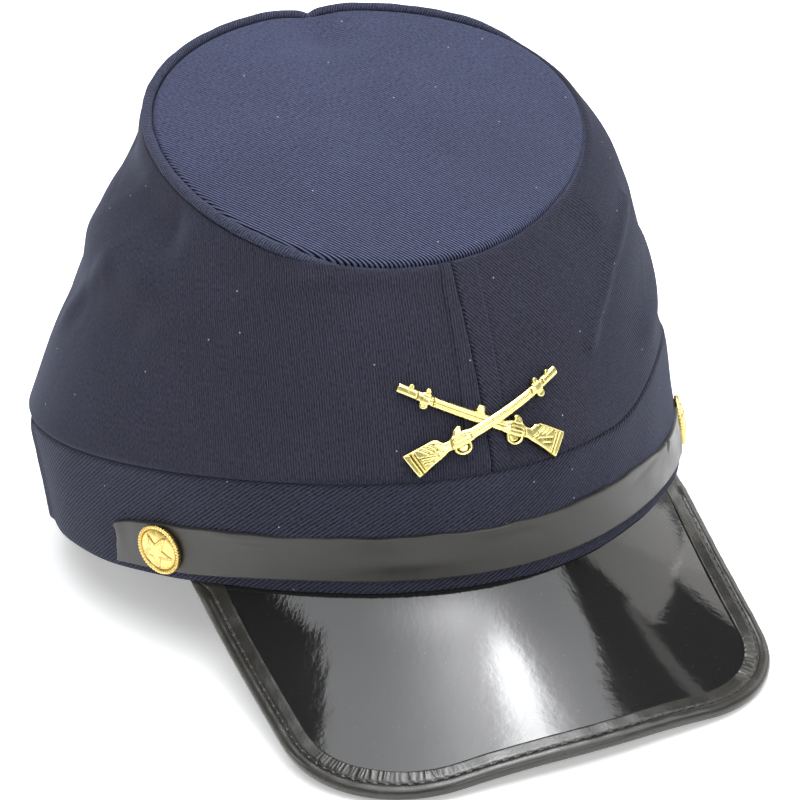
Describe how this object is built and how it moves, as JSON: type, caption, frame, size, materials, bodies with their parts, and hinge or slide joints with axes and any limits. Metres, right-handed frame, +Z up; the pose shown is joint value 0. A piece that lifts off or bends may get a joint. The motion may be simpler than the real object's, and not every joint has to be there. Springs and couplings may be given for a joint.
{
  "type": "military forage cap",
  "caption": "Navy twill forage cap with a tipped flat top, corded rim, glossy black peak, chin strap on gilt star buttons and a crossed-rifles badge.",
  "frame": {"origin": "on the floor, under the middle of the hat's box; the hat rests on the front corners of its peak and on the back of its band", "axes": "the front of the hat and its peak face -Y, the wearer's right is -X, +Z is up"},
  "size_m": [0.1776, 0.2642, 0.1387],
  "materials": {
    "navy_twill": "matt cotton twill, navy blue",
    "navy_cord": "cord covered in the same navy twill",
    "black_vinyl": "satin black coated cloth that imitates leather",
    "gloss_black": "high-gloss black sheet that imitates patent leather",
    "gold": "polished yellow gilt"
  },
  "bodies": {
    "root": {"crown_top": "navy_twill", "top_piping": "navy_cord", "crown_side_right": "navy_twill", "crown_side_left": "navy_twill", "band": "navy_twill", "chin_strap": "black_vinyl", "strap_button_right": "gold", "strap_button_left": "gold", "peak": "gloss_black", "peak_binding": "black_vinyl", "badge": "gold"}
  },
  "joints": []
}
